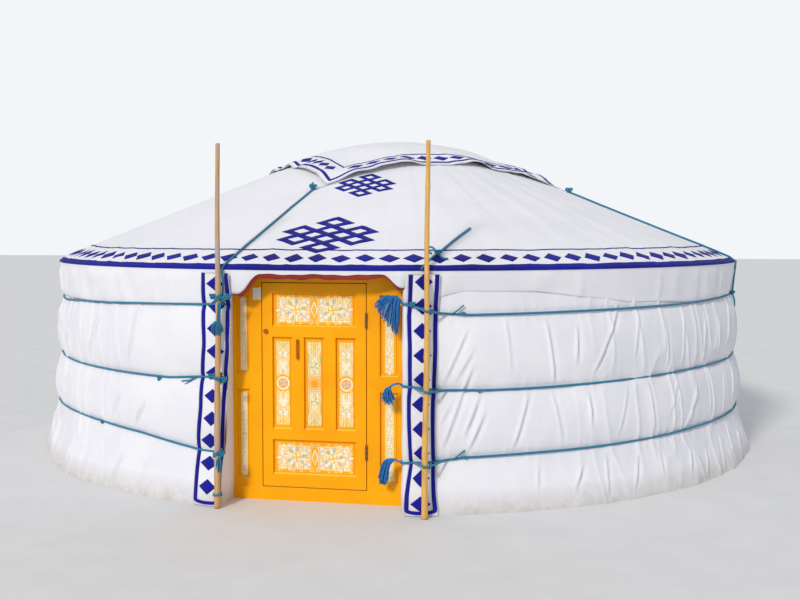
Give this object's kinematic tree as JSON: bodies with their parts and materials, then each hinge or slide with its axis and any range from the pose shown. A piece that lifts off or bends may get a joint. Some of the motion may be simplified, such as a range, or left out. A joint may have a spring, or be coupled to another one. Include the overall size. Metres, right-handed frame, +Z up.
{
  "type": "yurt",
  "caption": "Round felt-covered yurt on a lattice wall, with a roped canvas cover, blue ornament borders and a painted wooden door that opens.",
  "frame": {"origin": "centre of the yurt on the ground", "axes": "+Z up, the door faces -Y, +X to the right of someone facing the door"},
  "size_m": [6.1599, 6.149, 2.64],
  "materials": {
    "canvas": "matte",
    "frame_wood": "satin",
    "rope": "matte",
    "tassel": "matte",
    "pole_wood": "matte",
    "door_paint": "gloss",
    "iron": "matte"
  },
  "bodies": {
    "yurt": {"wall_cover_1": "canvas", "wall_cover_2": "canvas", "wall_cover_3": "canvas", "wall_cover_4": "canvas", "wall_cover_5": "canvas", "wall_cover_6": "canvas", "left_strip": "canvas", "right_strip": "canvas", "lattice_1": "frame_wood", "lattice_2": "frame_wood", "lattice_3": "frame_wood", "lattice_4": "frame_wood", "lattice_5": "frame_wood", "lattice_6": "frame_wood", "roof_poles_1": "frame_wood", "roof_poles_2": "frame_wood", "roof_poles_3": "frame_wood", "roof_poles_4": "frame_wood", "crown_rim": "frame_wood", "crown_spokes": "frame_wood", "left_post": "frame_wood", "right_post": "frame_wood", "front_roof_cover": "canvas", "roof_cover_1": "canvas", "roof_cover_2": "canvas", "roof_cover_3": "canvas", "roof_cover_4": "canvas", "roof_cover_5": "canvas", "crown_flap": "canvas", "roof_ropes": "rope", "upper_girth_rope": "rope", "middle_girth_rope": "rope", "lower_girth_rope": "rope", "rope_tassels": "tassel", "left_pole": "pole_wood", "right_pole": "pole_wood", "left_pole_ties": "rope", "right_pole_ties": "rope", "door_frame": "door_paint", "threshold": "door_paint", "left_side_panels": "door_paint", "right_side_panels": "door_paint", "frame_hinges": "iron"},
    "door": {"door_leaf": "door_paint", "door_panels": "door_paint", "leaf_hinges": "iron", "door_handle": "iron", "door_latch": "iron"}
  },
  "joints": [
    {"name": "door_hinge", "type": "hinge", "parent": "yurt", "child": "door", "pos_m": [0.346, -2.7503, 0.795], "axis": [0, 0, 1], "range_deg": [0, 105]}
  ]
}
